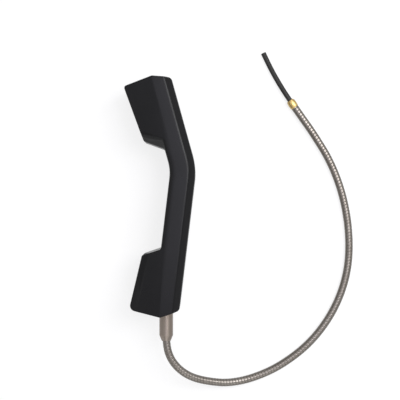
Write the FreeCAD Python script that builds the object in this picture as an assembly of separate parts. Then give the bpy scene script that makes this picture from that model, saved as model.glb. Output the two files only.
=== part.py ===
"""Heavy-duty telephone handset with an armoured cord, lying on its side.

Millimetres. X runs across the handset towards its back, Y along it towards the earpiece, Z up from
the surface that it lies on. The origin is under the middle of the handset, on that surface.
"""
import FreeCAD, Part
import math
import os

Vector = FreeCAD.Vector

# Clearances
FIT = 0.1                   # between pieces that fit together
CLOSE_FIT = 0.05            # between pieces that hold each other
LOOSE_FIT = 0.2             # around the screw caps and the capsules behind them

# Handle, the bar that runs from end to end
WIDTH = 50.0                # across the handset, the same from end to end
BAR_DEPTH = 22.8            # from the back of the bar to its front
BACK_CHAMFER = 6.0          # flat chamfer along both back edges
RIDGE_RADIUS = 3.0          # rounding on each side of that chamfer
FRONT_FACET = 6.0           # front part of each side, which falls away towards the front
SIDE_FALL = 8.0             # degrees that it falls away, and the blocks' sides with it
FRONT_RADIUS = 3.0          # rounding of the grip's front edges
BEND_RADIUS = 60.0          # of the back line, where the bar bends
UPPER_LEAN = 15.5           # degrees that the upper half leans towards its front
LOWER_LEAN = -6.8           # degrees that the lower half leans the other way
WALL = 3.2                  # of the moulding
INNER_RADIUS = 0.4          # least rounding inside the moulding
END_WALL = 4.2              # from the hollow to where the top end meets the back
END_RIDGE = 16.3            # from the back to the ridge across each end
TOP_BEVEL = 4.3             # degrees that the top's back half falls away
BOTTOM_BEVEL = 18.4         # degrees that the bottom's back half rises
END_BACK_RADIUS = 4.0       # rounding where each end meets the back
END_EDGE_RADIUS = 1.2       # rounding of the ridge across each end

# Ear block and mouth block
EAR_LEAN = 20.1             # degrees that the ear face leans towards its front
EAR_UP = 61.3               # middle of the ear face, up from the bend
EAR_LEDGE = 2.6             # moulding between the receiver and the hollow
EAR_FACE = 51.7             # length of the ear face
EAR_FLARE = 40.0            # degrees that the underside spreads towards the bar
EAR_CORNER = 2.4            # rounding at both ends of the ear face
EAR_ROOT_RADIUS = 4.0       # where the underside runs into the bar
EAR_SIDE_CHAMFER = 8.0      # on both lower side edges of the ear block
MOUTH_LEAN = -13.4          # degrees that the mouth face leans the other way
MOUTH_DOWN = 107.6          # middle of the mouth face, down from the bend
MOUTH_LEDGE = 3.4           # moulding between the microphone's holder and the hollow
MOUTH_FACE = 49.6           # length of the mouth face
MOUTH_FLARE = 32.0          # degrees that its upper side spreads towards the bar
MOUTH_TOP_CORNER = 1.8      # rounding at the face's upper end
MOUTH_END_CORNER = 5.0      # rounding at the face's lower end
MOUTH_FACET = 7.3           # width of the shallow facet beside the mouth face
MOUTH_FACET_TURN = 6.0      # degrees that the facet falls away faster than the side
MOUTH_ROOT_RADIUS = 1.5     # where the upper side runs into the bar
FACE_BEVEL = 0.8            # along both sides of each face

# Screw caps
EAR_CAP_RIM = 2.3           # from the ear cap to the side of its block
MOUTH_CAP_RIM = 2.3         # from the mouth cap to the side of its block
CAP_FLANGE = 3.0            # thickness of a cap's face
CAP_EDGE = 0.6              # bevel around it
CAP_SKIRT_STEP = 1.5        # how much smaller the skirt is than the flange
CAP_SKIRT_WALL = 3.0        # of the threaded skirt
CAP_SKIRT_END = 9.0         # from the block's face to the end of the skirt
THREAD_RELIEF = 1.0         # how far the block's thread runs on past the skirt
CAP_SINK = 0.3              # the cap's face lies this far below the block's
SEAL_THICK = 0.8            # of each sealing ring
GUARD_THICK = 0.6           # of the perforated plate behind a cap's holes
GUARD_RING = 1.2            # of the ring that holds the plate, both ways
HOLE_R = 1.1                # of the sound holes
HOLE_EDGE = 0.2             # from the plate's outer holes to the ring that holds it
HOLE_WEB = 0.5              # between the plate's inner holes
GUARD_TURN = 15.0           # degrees that the plate's holes are turned against the cap's
SPANNER_R = 1.2             # of the two holes for a pin spanner
SPANNER_DEEP = 2.0

# Receiver capsule, behind the ear cap
CLAMP = 0.9                 # how far a cap's skirt reaches over what it holds down
SEAT_LEDGE = 2.4            # width of the ledge behind
GASKET_THICK = 0.8          # of the gaskets before and behind
CAPSULE_HIGH = 8.2          # of the capsule, and of the microphone's holder
CASE_WALL = 0.8             # of the capsule's case
GRILLE_THICK = 0.5          # of the grille across the capsule's front
GRILLE_ROOM = 1.7           # from the grille to the diaphragm
RIM_WIDTH = 1.5             # of the rims that hold the diaphragm
DIAPHRAGM = 0.2             # thickness of the diaphragm
COIL_SHARE = 0.344          # inside of the voice coil, as a share of the capsule
COIL_THICK = 0.8            # of its winding
COIL_HIGH = 2.4             # length of the winding
COIL_RIM = 0.3              # of the dome, past the coil
COIL_TRAVEL = 0.2           # each way
COIL_GAP = 0.4              # on each side of the coil
YOKE_WALL = 1.5             # of the steel cup around the magnet
YOKE_BASE = 1.2             # of its floor
POLE_HIGH = 1.0             # thickness of the pole piece
BASKET_THICK = 1.0          # of the frame that carries the magnet and the diaphragm
VENT_R = 1.5                # of the holes in that frame
SURROUND_GAP = 0.3          # from the dome to the surround
DOME_RISE = 0.8             # of the dome's middle
TERMINAL_BOARD = 1.0        # thickness of the board behind the capsule
TERMINAL_R = 1.0            # of the two solder posts
TERMINAL_OUT = 3.5          # of each post from the middle
TERMINAL_LONG = 2.0         # of the posts

# Microphone and its circuit board, behind the mouth cap
HOLDER_DISC = 2.0           # thickness of the holder's front
HOLDER_WALL = 1.4           # of the holder's side
BOARD_EDGE_GAP = 0.6        # between the circuit board and the holder's side
BOARD_THICK = 1.6           # of the circuit board
PILLAR_HIGH = 3.0           # of the holder's three pillars
PILLAR_R = 1.7
PILLAR_GAP = 0.7            # between each pillar and the holder's side
PILLAR_TURN = 60.0          # degrees from the board's upper edge to the first pillar
SCREW_R = 0.8               # of the board's screws
SCREW_SHORT = 0.4           # how far a screw's end stays from the disc
BLOCK_HIGH = 5.0            # of the terminal block, out from the board
BLOCK_DEEP = 6.0            # of the block along the handset
BLOCK_GAP = 0.45            # from the block to the screws and to the ledge
MIC_SHARE = 0.328           # of the microphone capsule, as a share of its holder
MIC_HIGH = 4.2
FELT_THICK = 0.4            # of the felt on its front
BOOT_WALL = 1.2             # of its rubber boot
BOOT_FLANGE = 1.0           # thickness of the boot's flange
PIN_R = 0.3                 # of the microphone's pins
PIN_OUT = 1.27              # of each pin from the middle
PIN_PAST = 0.6              # how far the pins stand out behind the board
PIN_HOLE_GAP = 0.15         # around each pin in the board

# Components on the back of the board. Each place is up from its middle and across, as a share of the
# pillars' distance from it. Each size is a radius and a height, or two sides and a height.
INDUCTOR_AT, INDUCTOR_SIZE = (-0.6, 0.43), (3.0, 3.4)
CAPACITOR_AT, CAPACITOR_SIZE = (-0.56, -0.43), (2.5, 4.5)
RESISTORS_AT, RESISTOR_SIZE = [(-0.04, across) for across in (-0.57, -0.36, 0.36, 0.57)], (3.2, 1.6, 0.6)
DIODES_AT, DIODE_SIZE = [(-0.04, across) for across in (-0.83, 0.83)], (3.6, 2.4, 2.0)

# Hook-switch magnet, in a pocket below the ear cap
MAGNET_R = 3.0
MAGNET_LONG = 10.0
MAGNET_WALL = 0.7           # between its pocket and the cap's recess
MAGNET_SEAT = 7.2           # from the ear face to the magnet

# Wires inside the handset
WIRE_R = 0.65
LEAD_OUT = 6.0              # straight length at each end of a receiver wire
CORE_OUT = 3.0              # straight length at each end of a line core
LEAD_TURN = 16.0            # from the middle of each block to where its wires turn along the handle
LEAD_BEND = 12.0            # from the bend to where the wires pass it
LEAD_BOW = 1.0              # how much further out they pass it
LEADS_APART = 5.0           # between the two receiver wires
CORES_APART = 1.6           # between the two line cores at the cable's end

# Steel sleeve where the cord leaves the handset
SLEEVE_SETBACK = 11.6       # of the sleeve's axis from the back
SLEEVE_R = 6.2
SLEEVE_OUT = 23.5           # from the end ridge to the sleeve's mouth
SLEEVE_TAPER = 5.0          # length of the taper at its mouth
SLEEVE_MOUTH_R = 4.1        # of the end of the taper
SLEEVE_IN = 8.4             # from the end ridge to the sleeve's shoulder
SLEEVE_GAP = 0.15           # around the sleeve in the handle
NECK_R = 4.5                # of the sleeve's threaded neck
NECK_WALL = 5.8             # of moulding between the sleeve's seal and the nut's washer
NECK_PAST = 1.0             # how far the neck stands out of the nut
WASHER_THICK = 0.8
NUT_HIGH = 3.2
NUT_FLATS = 12.0            # across the nut's flats
NUT_ROOM = 0.9              # around the nut's corners
NUT_SINK = 1.0              # of the nut's seat into the hollow's floor
SOCKET_DEEP = 8.0           # of the hose in the sleeve
CABLE_PAST = 4.0            # how far the cable's sheath stands out of the neck
TIE_THICK = 1.4             # of the tie around the sheath
TIE_WIDE = 2.6
TIE_HEAD = 3.4              # of its head, across
TIE_INSET = 0.6             # from the sheath's end to the tie

# Armoured cord
HOSE_R = 3.5                # outside
HOSE_BORE_R = 2.6
HOSE_GROOVE = 0.45          # depth of the grooves between its ribs
HOSE_PITCH = 2.9            # from rib to rib
CABLE_R = 2.35              # of the cable inside it
FERRULE_R = 4.0             # of the brass ferrule on the hose's end
FERRULE_SOCKET = 6.5        # how far the hose goes in
FERRULE_END = 2.0           # thickness of the ferrule's end wall

# The hose's route from its end inside the sleeve: across, along, and the share of the way up from
# lying on the surface to the sleeve's height. Millimetres from the sleeve's mouth.
HOSE_ROUTE = [
    (0.0, 8.0, 1.0), (0.0, -5.0, 1.0), (4.2, -17.4, 0.98), (12.5, -27.5, 0.88), (24.0, -35.0, 0.70),
    (39.5, -39.5, 0.44), (57.5, -42.0, 0.18), (80.0, -38.0, 0.02), (106.0, -26.5, 0.0),
    (134.0, -5.0, 0.0), (155.5, 24.5, 0.0), (168.0, 58.5, 0.0), (170.0, 93.5, 0.0),
    (164.5, 130.0, 0.0), (152.5, 163.0, 0.0), (135.0, 191.0, 0.01), (124.5, 205.5, 0.024),
    (115.5, 218.5, 0.024)]
# The bare cable beyond the ferrule, from the hose's end: across, along, and the share of the way
# up from lying on the surface to the hose's height.
TAIL_ROUTE = [
    (0.0, 0.0, 1.0), (-5.4, 7.8, 1.0), (-13.1, 20.7, 0.4), (-19.8, 33.0, 0.0), (-25.8, 45.9, 0.0)]

# Sizes that follow from these
MID = WIDTH / 2
CAP_BACK = -CAP_SINK - CAP_FLANGE
CAPSULE_FRONT = -CAP_SKIRT_END - GASKET_THICK
CAPSULE_BACK = CAPSULE_FRONT - CAPSULE_HIGH
CHAMBER = GASKET_THICK - CAPSULE_BACK
EAR_REACH = BAR_DEPTH - WALL + EAR_LEDGE + CHAMBER
MOUTH_REACH = BAR_DEPTH - WALL + MOUTH_LEDGE + CHAMBER
SIDE_FLAT = BAR_DEPTH - FRONT_FACET
FALL = math.tan(math.radians(SIDE_FALL))
FACET_FALL = math.tan(math.radians(SIDE_FALL + MOUTH_FACET_TURN))
EAR_SIDE_STEP = (EAR_REACH - SIDE_FLAT) * FALL
MOUTH_SIDE_STEP = (MOUTH_REACH - SIDE_FLAT - MOUTH_FACET) * FALL + MOUTH_FACET * FACET_FALL
EAR_CAP_R = MID - EAR_SIDE_STEP - EAR_CAP_RIM
MOUTH_CAP_R = MID - MOUTH_SIDE_STEP - MOUTH_CAP_RIM
EAR_CAPSULE_R = EAR_CAP_R - CAP_SKIRT_STEP - CAP_SKIRT_WALL + CLAMP
HOLDER_R = MOUTH_CAP_R - CAP_SKIRT_STEP - CAP_SKIRT_WALL + CLAMP
COIL_R = COIL_SHARE * EAR_CAPSULE_R
MIC_R = MIC_SHARE * HOLDER_R
MAGNET_DOWN = EAR_CAP_R + LOOSE_FIT + MAGNET_WALL + FIT + MAGNET_R
BOARD_FRONT = CAPSULE_FRONT - HOLDER_DISC - PILLAR_HIGH
BOARD_BACK = BOARD_FRONT - BOARD_THICK
PILLAR_RING = HOLDER_R - HOLDER_WALL - PILLAR_GAP - PILLAR_R
BLOCK_WIDE = 2 * (PILLAR_RING * math.sin(math.radians(PILLAR_TURN)) - 2 * SCREW_R - BLOCK_GAP)
BLOCK_EDGE = math.sqrt((HOLDER_R - SEAT_LEDGE) ** 2 - (BLOCK_WIDE / 2) ** 2)
BLOCK_AT = BLOCK_EDGE - BLOCK_GAP - BLOCK_DEEP / 2
NUT_SEAT = SLEEVE_IN + SEAL_THICK + NECK_WALL
NUT_CORNER = NUT_FLATS / math.sqrt(3)
NECK_IN = NUT_SEAT + WASHER_THICK + NUT_HIGH + NECK_PAST
CABLE_IN = NECK_IN + CABLE_PAST

PARTS = {}


# Directions and places

def up(lean):
    a = math.radians(lean)
    return Vector(-math.sin(a), math.cos(a), 0)


def forward(lean):
    a = math.radians(lean)
    return Vector(-math.cos(a), -math.sin(a), 0)


def flat(v, z=0.0):
    return Vector(v.x, v.y, z)


def crossing(p, u, q, v):
    """The point where the line through p along u meets the line through q along v, seen from above."""
    t = ((q.x - p.x) * v.y - (q.y - p.y) * v.x) / (u.x * v.y - u.y * v.x)
    return p + u * t


BEND = Vector(0, 0, 0)
EAR_MID = BEND + up(UPPER_LEAN) * EAR_UP + forward(UPPER_LEAN) * EAR_REACH
MOUTH_MID = BEND - up(LOWER_LEAN) * MOUTH_DOWN + forward(LOWER_LEAN) * MOUTH_REACH
EAR_TOP = EAR_MID + up(EAR_LEAN) * (EAR_FACE / 2)
EAR_FOOT = EAR_MID - up(EAR_LEAN) * (EAR_FACE / 2)
MOUTH_TOP = MOUTH_MID + up(MOUTH_LEAN) * (MOUTH_FACE / 2)
MOUTH_END = MOUTH_MID - up(MOUTH_LEAN) * (MOUTH_FACE / 2)
UPPER_RIDGE = BEND + forward(UPPER_LEAN) * END_RIDGE
LOWER_RIDGE = BEND + forward(LOWER_LEAN) * END_RIDGE
TOP_RIDGE = crossing(EAR_TOP, forward(EAR_LEAN), UPPER_RIDGE, up(UPPER_LEAN))
BOTTOM_RIDGE = crossing(MOUTH_END, forward(MOUTH_LEAN), LOWER_RIDGE, up(LOWER_LEAN))
TOP_SLOPE = up(-90 - TOP_BEVEL)
BOTTOM_SLOPE = up(-90 + BOTTOM_BEVEL)
TOP_BACK = crossing(TOP_RIDGE, TOP_SLOPE, BEND, up(UPPER_LEAN))
BOTTOM_BACK = crossing(BOTTOM_RIDGE, BOTTOM_SLOPE, BEND, up(LOWER_LEAN))


def face_place(middle, lean):
    """Local X up along the face, local Z out of it, the origin in its middle."""
    turn = FreeCAD.Rotation(up(lean), Vector(0, 0, -1), forward(lean), "ZXY")
    return FreeCAD.Placement(flat(middle, MID), turn)


EAR = face_place(EAR_MID, EAR_LEAN)
MOUTH = face_place(MOUTH_MID, MOUTH_LEAN)
SLEEVE_LINE = BEND + forward(LOWER_LEAN) * SLEEVE_SETBACK
SLEEVE_TOP = crossing(BOTTOM_RIDGE, Vector(1, 0, 0), SLEEVE_LINE, up(LOWER_LEAN))
SLEEVE = FreeCAD.Placement(flat(SLEEVE_TOP, MID), FreeCAD.Rotation(Vector(0, 0, 1), Vector(0, -1, 0)))
EXIT = flat(SLEEVE_TOP, MID) + Vector(0, -SLEEVE_OUT, 0)
HOLLOW_TOP = TOP_BACK.dot(up(UPPER_LEAN)) - END_WALL
HOLLOW_BOTTOM = -(SLEEVE_TOP + Vector(0, NUT_SEAT, 0)).dot(up(LOWER_LEAN)) - NUT_SINK


def bar_point(along, out, across=0.0):
    """A point in the bar: up from the bend, out from the back, across from its middle."""
    lean = UPPER_LEAN if along > 0 else LOWER_LEAN
    return flat(BEND + up(lean) * along + forward(lean) * out, MID + across)


# Shapes

def outline(corners):
    """A closed wire through (point, radius) corners, each rounded by its own radius."""
    ends = []
    for i, (point, radius) in enumerate(corners):
        back = (corners[i - 1][0] - point).normalize()
        ahead = (corners[(i + 1) % len(corners)][0] - point).normalize()
        half = back.getAngle(ahead) / 2
        if radius == 0:
            ends.append((point, None, point))
            continue
        reach = radius / math.tan(half)
        middle = (back + ahead).normalize() * (radius / math.sin(half) - radius)
        ends.append((point + back * reach, point + middle, point + ahead * reach))
    edges = []
    for i, (start, middle, end) in enumerate(ends):
        if middle is not None:
            edges.append(Part.Arc(start, middle, end).toShape())
        following = ends[(i + 1) % len(ends)][0]
        if (following - end).Length > 1e-6:
            edges.append(Part.LineSegment(end, following).toShape())
    return Part.Wire(edges)


def prism(corners, low, high):
    """A plate of the outline seen from above, from one height to another."""
    wire = outline([(flat(point, low), radius) for point, radius in corners])
    return Part.Face(wire).extrude(Vector(0, 0, high - low))


def ring(outer, low, high, inner=0.0, at=(0.0, 0.0)):
    """A disc or ring about local Z, or about a line beside it."""
    base = Vector(at[0], at[1], low)
    body = Part.makeCylinder(outer, high - low, base)
    if inner > 0:
        body = body.cut(Part.makeCylinder(inner, high - low, base))
    return body


def block(length, width, low, high, at=(0.0, 0.0)):
    return Part.makeBox(length, width, high - low, Vector(at[0] - length / 2, at[1] - width / 2, low))


def around(count, radius, start=0.0):
    """Evenly spaced places on a circle."""
    turns = [math.radians(start + 360.0 * i / count) for i in range(count)]
    return [(radius * math.cos(a), radius * math.sin(a)) for a in turns]


def placed(shape, place):
    moved = shape.copy()
    moved.Placement = place.multiply(moved.Placement)
    return moved


def smooth_path(points):
    """Straight runs joined by tangent arcs: the edges in order, and the arcs' radii."""
    edges = []
    radii = []
    last = points[0]
    for before, point, after in zip(points, points[1:], points[2:]):
        back = before - point
        ahead = after - point
        reach = 0.45 * min(back.Length, ahead.Length)
        back.normalize()
        ahead.normalize()
        half = back.getAngle(ahead) / 2
        radius = reach * math.tan(half)
        middle = point + (back + ahead).normalize() * (radius / math.sin(half) - radius)
        edges.append(Part.LineSegment(last, point + back * reach).toShape())
        edges.append(Part.Arc(point + back * reach, middle, point + ahead * reach).toShape())
        radii.append(radius)
        last = point + ahead * reach
    edges.append(Part.LineSegment(last, points[-1]).toShape())
    return edges, radii


def swept(edges, radius, start, ahead):
    """A round rod along a path."""
    section = Part.Wire(Part.makeCircle(radius, start, ahead))
    return Part.Wire(edges).makePipeShell([section], True, False)


def tube(name, points, radius):
    """A round rod through hand-chosen points. Its length, bends and volume are printed."""
    edges, radii = smooth_path(points)
    body = swept(edges, radius, points[0], points[1] - points[0])
    length = sum(edge.Length for edge in edges)
    print("%s: length %.1f, radii %s, volume %.1f of %.1f" % (
        name, length, " ".join("%.0f" % r for r in radii), body.Volume, math.pi * radius ** 2 * length))
    return body


def circle_along(edges, distance, radius):
    """A circle square to the path at a distance along it, its seam always level with its middle."""
    for edge in edges:
        if distance <= edge.Length:
            break
        distance -= edge.Length
    at = edge.getParameterByLength(min(distance, edge.Length))
    ahead = edge.tangentAt(at)
    side = Vector(0, 0, 1).cross(ahead).normalize()
    wire = Part.Wire(Part.makeCircle(radius))
    wire.Placement = FreeCAD.Placement(
        edge.valueAt(at), FreeCAD.Rotation(side, ahead.cross(side), ahead, "ZXY"))
    return wire


def ribbed_hose(name, points, radius, bore, groove, pitch):
    """An armoured hose: flat ribs with narrow grooves between them, plain for a diameter at each end."""
    edges, radii = smooth_path(points)
    length = sum(edge.Length for edge in edges)
    plain = 2 * radius
    count = int((length - 2 * plain) / pitch)
    step = (length - 2 * plain) / count
    stations = [(0.0, radius), (plain - 0.2 * step, radius)]
    for i in range(count):
        for share, size in ((0.0, radius - groove), (0.15, radius - groove), (0.3, radius), (0.85, radius)):
            stations.append((plain + (i + share) * step, size))
    stations.append((length - plain + 0.2 * step, radius))
    stations.append((length, radius))
    outside = Part.makeLoft([circle_along(edges, at, size) for at, size in stations], True, True)
    body = outside.cut(swept(edges, bore, points[0], points[1] - points[0]))
    print("%s: length %.1f, ribs %d, radii %s, volume %.0f, %.0f without grooves" % (
        name, length, count, " ".join("%.0f" % r for r in radii), body.Volume,
        math.pi * (radius ** 2 - bore ** 2) * length))
    return body


def keep(name, shape):
    PARTS[name] = shape


# Handle: the bar, its two blocks, and what is cut out of them

def bar(inset, top, bottom):
    """The bar, drawn in by inset all round, from top above the bend to bottom below it."""
    half = math.radians((UPPER_LEAN - LOWER_LEAN) / 2)
    reach = BEND_RADIUS * math.tan(half)
    inward = (forward(UPPER_LEAN) + forward(LOWER_LEAN)).normalize()
    start = bar_point(top, 0, -MID)
    first = bar_point(reach, 0, -MID)
    middle = flat(BEND) + inward * (BEND_RADIUS / math.cos(half) - BEND_RADIUS)
    last = bar_point(-reach, 0, -MID)
    path = Part.Wire([Part.LineSegment(start, first).toShape(),
                      Part.Arc(first, middle, last).toShape(),
                      Part.LineSegment(last, bar_point(-bottom, 0, -MID)).toShape()])
    step = BACK_CHAMFER - inset * (2 - math.sqrt(2))
    ridge = max(RIDGE_RADIUS - inset, INNER_RADIUS)
    rounding = max(FRONT_RADIUS - inset, INNER_RADIUS)
    front = BAR_DEPTH - inset
    turning = SIDE_FLAT - inset * math.tan(math.radians(SIDE_FALL / 2))
    low = inset + (front - turning) * FALL
    section = [(inset, inset + step, ridge), (inset + step, inset, ridge), (turning, inset, 0),
               (front, low, rounding), (front, WIDTH - low, rounding), (turning, WIDTH - inset, 0),
               (inset + step, WIDTH - inset, ridge), (inset, WIDTH - inset - step, ridge)]
    corners = [(start + forward(UPPER_LEAN) * out + Vector(0, 0, across), radius)
               for out, across, radius in section]
    return path.makePipeShell([outline(corners)], True, False)


def slab(point, out):
    """A big plate that lies beyond the point in the direction out."""
    reach = 8 * WIDTH
    plate = Part.makeBox(reach, reach, WIDTH, Vector(-reach / 2, -reach / 2, 0))
    return placed(plate, FreeCAD.Placement(point, FreeCAD.Rotation(Vector(0, 0, 1), out)))


def bevel(point, first, second, width):
    """What comes off the edge through the point, where faces that look first and second ways meet."""
    out = (first + second).normalize()
    return slab(point - out * (width * math.sin(first.getAngle(second) / 2)), out)


def both_sides(cutters):
    return cutters + [cutter.mirror(Vector(0, 0, MID), Vector(0, 0, 1)) for cutter in cutters]


def side_plane(lean):
    """A point of a block's upper side, where it starts to fall away, and the way that it looks."""
    fall = math.radians(SIDE_FALL)
    out = Vector(0, 0, math.cos(fall)) + forward(lean) * math.sin(fall)
    return flat(BEND + forward(lean) * SIDE_FLAT, WIDTH), out


def above(point, plane):
    """The point of the plane straight above another."""
    at, out = plane
    lowered = flat(point, at.z)
    return lowered - Vector(0, 0, (lowered - at).dot(out) / out.z)


def block_side(end_corner, end_radius, root_corner, root_radius, lean, bar_lean, flare, base_radius,
               outer):
    """A block seen from the side: its face, its outer end, and its flared end that meets the bar.

    outer is 1 for the ear block, whose flared end is below it, and -1 for the mouth block.
    """
    spread = math.radians(flare)
    slope = forward(lean) * -math.cos(spread) - up(lean) * (outer * math.sin(spread))
    front = BEND + forward(bar_lean) * BAR_DEPTH
    root = crossing(root_corner, slope, front, up(bar_lean))
    past = root - up(bar_lean) * (outer * base_radius)
    inside = past - forward(bar_lean) * (BAR_DEPTH / 2)
    behind = crossing(inside, up(bar_lean), end_corner, forward(lean))
    corners = [(end_corner, end_radius), (root_corner, root_radius), (root, base_radius),
               (past, 0), (inside, 0), (behind, 0)]
    return prism(corners, 0, WIDTH), slope


def ear_block():
    body, slope = block_side(EAR_TOP, EAR_CORNER, EAR_FOOT, EAR_CORNER, EAR_LEAN, UPPER_LEAN,
                             EAR_FLARE, EAR_ROOT_RADIUS, 1)
    side = side_plane(UPPER_LEAN)
    edge = above(EAR_FOOT, side)
    below = Vector(slope.y, -slope.x, 0)
    if below.dot(up(EAR_LEAN)) > 0:
        below = -below
    return body.cut(both_sides([
        slab(*side),
        bevel(edge, side[1], forward(EAR_LEAN), FACE_BEVEL),
        bevel(edge, side[1], below, EAR_SIDE_CHAMFER)]))


def mouth_block():
    body, slope = block_side(MOUTH_END, MOUTH_END_CORNER, MOUTH_TOP, MOUTH_TOP_CORNER, MOUTH_LEAN,
                             LOWER_LEAN, MOUTH_FLARE, MOUTH_ROOT_RADIUS, -1)
    side = side_plane(LOWER_LEAN)
    face = forward(MOUTH_LEAN)
    turn = math.radians(MOUTH_FACET_TURN)
    tilt = (face - side[1] * face.dot(side[1])).normalize()
    facet = (above(MOUTH_MID - face * MOUTH_FACET, side), side[1] * math.cos(turn) + tilt * math.sin(turn))
    return body.cut(both_sides([
        slab(*side), slab(*facet), bevel(above(MOUTH_MID, facet), facet[1], face, FACE_BEVEL)]))


def end_cutter(ridge, slope, back, lean, face_lean, face_corner, outer):
    """What lies beyond one end of the handset, with the back corner rounded."""
    out = up(lean) * (outer * 4 * END_RIDGE)
    far = face_corner + forward(face_lean) * END_RIDGE
    near = back - up(lean) * (outer * 2 * END_BACK_RADIUS)
    clear = near - forward(lean) * END_RIDGE
    return prism([(far, 0), (ridge, END_EDGE_RADIUS), (back, END_BACK_RADIUS), (near, 0), (clear, 0),
                  (clear + out, 0), (far + out, 0)], -1, WIDTH + 1)


def handle_body():
    body = bar(0, EAR_UP + EAR_FACE, MOUTH_DOWN + MOUTH_FACE)
    body = body.fuse([ear_block(), mouth_block()])
    body = body.cut([
        end_cutter(TOP_RIDGE, TOP_SLOPE, TOP_BACK, UPPER_LEAN, EAR_LEAN, EAR_TOP, 1),
        end_cutter(BOTTOM_RIDGE, BOTTOM_SLOPE, BOTTOM_BACK, LOWER_LEAN, MOUTH_LEAN, MOUTH_END, -1)])
    body = body.removeSplitter()
    cuts = [bar(WALL, HOLLOW_TOP, HOLLOW_BOTTOM)]
    for place, cap_r, capsule_r, reach in (
            (EAR, EAR_CAP_R, EAR_CAPSULE_R, EAR_REACH), (MOUTH, MOUTH_CAP_R, HOLDER_R, MOUTH_REACH)):
        deep = reach - BAR_DEPTH / 2
        cuts += [placed(hole, place) for hole in (
            ring(cap_r + LOOSE_FIT, CAP_BACK - SEAL_THICK, CAP_FLANGE),
            ring(cap_r - CAP_SKIRT_STEP + FIT, -CAP_SKIRT_END - THREAD_RELIEF, 0),
            ring(capsule_r + LOOSE_FIT, -CHAMBER, 0),
            ring(capsule_r - SEAT_LEDGE, -deep, 0))]
    pocket = ring(MAGNET_R + FIT, BAR_DEPTH / 2 - EAR_REACH, -MAGNET_SEAT, 0, (-MAGNET_DOWN, 0))
    cuts.append(placed(pocket, EAR))
    cuts += [placed(hole, SLEEVE) for hole in (
        ring(SLEEVE_R + SLEEVE_GAP, -SLEEVE_IN - SEAL_THICK, SLEEVE_OUT),
        ring(NECK_R + SLEEVE_GAP, -CABLE_IN, 0),
        ring(NUT_CORNER + NUT_ROOM, -CABLE_IN, -NUT_SEAT))]
    return body.cut(cuts)


# Screw caps, each with its perforated guard plate and seal

def plate_radius(cap_r):
    """Of the perforated plate that fits inside a cap's skirt."""
    return cap_r - CAP_SKIRT_STEP - CAP_SKIRT_WALL - LOOSE_FIT


def hole_step(cap_r):
    """From one ring of holes to the next: the plate's third ring comes near the ring that holds it."""
    return (plate_radius(cap_r) - GUARD_RING - HOLE_EDGE + HOLE_WEB / 2) / 2.75


def sound_holes(body, step, hole, low, high):
    """A hole in the middle and two rings of holes around it."""
    holes = [ring(hole, low, high)]
    for number in (1, 2):
        holes += [ring(hole, low, high, 0, at) for at in around(6 * number, number * step)]
    return body.cut(holes)


def guard_holes(body, step, low, high):
    """Three rings of holes that lie between those of the cap. Those of the first are a web apart."""
    hole = step / 4 - HOLE_WEB / 2
    holes = []
    for number in (1, 2, 3):
        places = around(6 * number, (number - 0.5) * step, GUARD_TURN)
        holes += [ring(hole, low, high, 0, at) for at in places]
    return body.cut(holes)


def screw_cap(cap_r):
    face = -CAP_SINK
    skirt = cap_r - CAP_SKIRT_STEP
    body = Part.makeCylinder(cap_r, CAP_FLANGE - CAP_EDGE, Vector(0, 0, CAP_BACK))
    body = body.fuse([
        Part.makeCone(cap_r, cap_r - CAP_EDGE, CAP_EDGE, Vector(0, 0, face - CAP_EDGE)),
        ring(skirt, -CAP_SKIRT_END, CAP_BACK, skirt - CAP_SKIRT_WALL)]).removeSplitter()
    body = sound_holes(body, hole_step(cap_r), HOLE_R, CAP_BACK, face)
    return body.cut([ring(SPANNER_R, face - SPANNER_DEEP, face, 0, at)
                     for at in around(2, skirt - CAP_SKIRT_WALL / 2)])


def cap_parts(prefix, cap_r, place):
    skirt = cap_r - CAP_SKIRT_STEP
    inside = plate_radius(cap_r)
    plate_back = CAP_BACK - GUARD_THICK
    plate = ring(inside, plate_back, CAP_BACK)
    plate = guard_holes(plate, hole_step(cap_r), plate_back, CAP_BACK)
    holding = ring(inside, plate_back - GUARD_RING, plate_back, inside - GUARD_RING)
    seal = ring(cap_r - FIT, CAP_BACK - SEAL_THICK, CAP_BACK - CLOSE_FIT, skirt + LOOSE_FIT)
    keep(prefix + "_cap", placed(screw_cap(cap_r), place))
    keep(prefix + "_cap_seal", placed(seal, place))
    keep(prefix + "_guard_plate", placed(plate, place))
    keep(prefix + "_guard_ring", placed(holding, place))


# Receiver capsule

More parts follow.
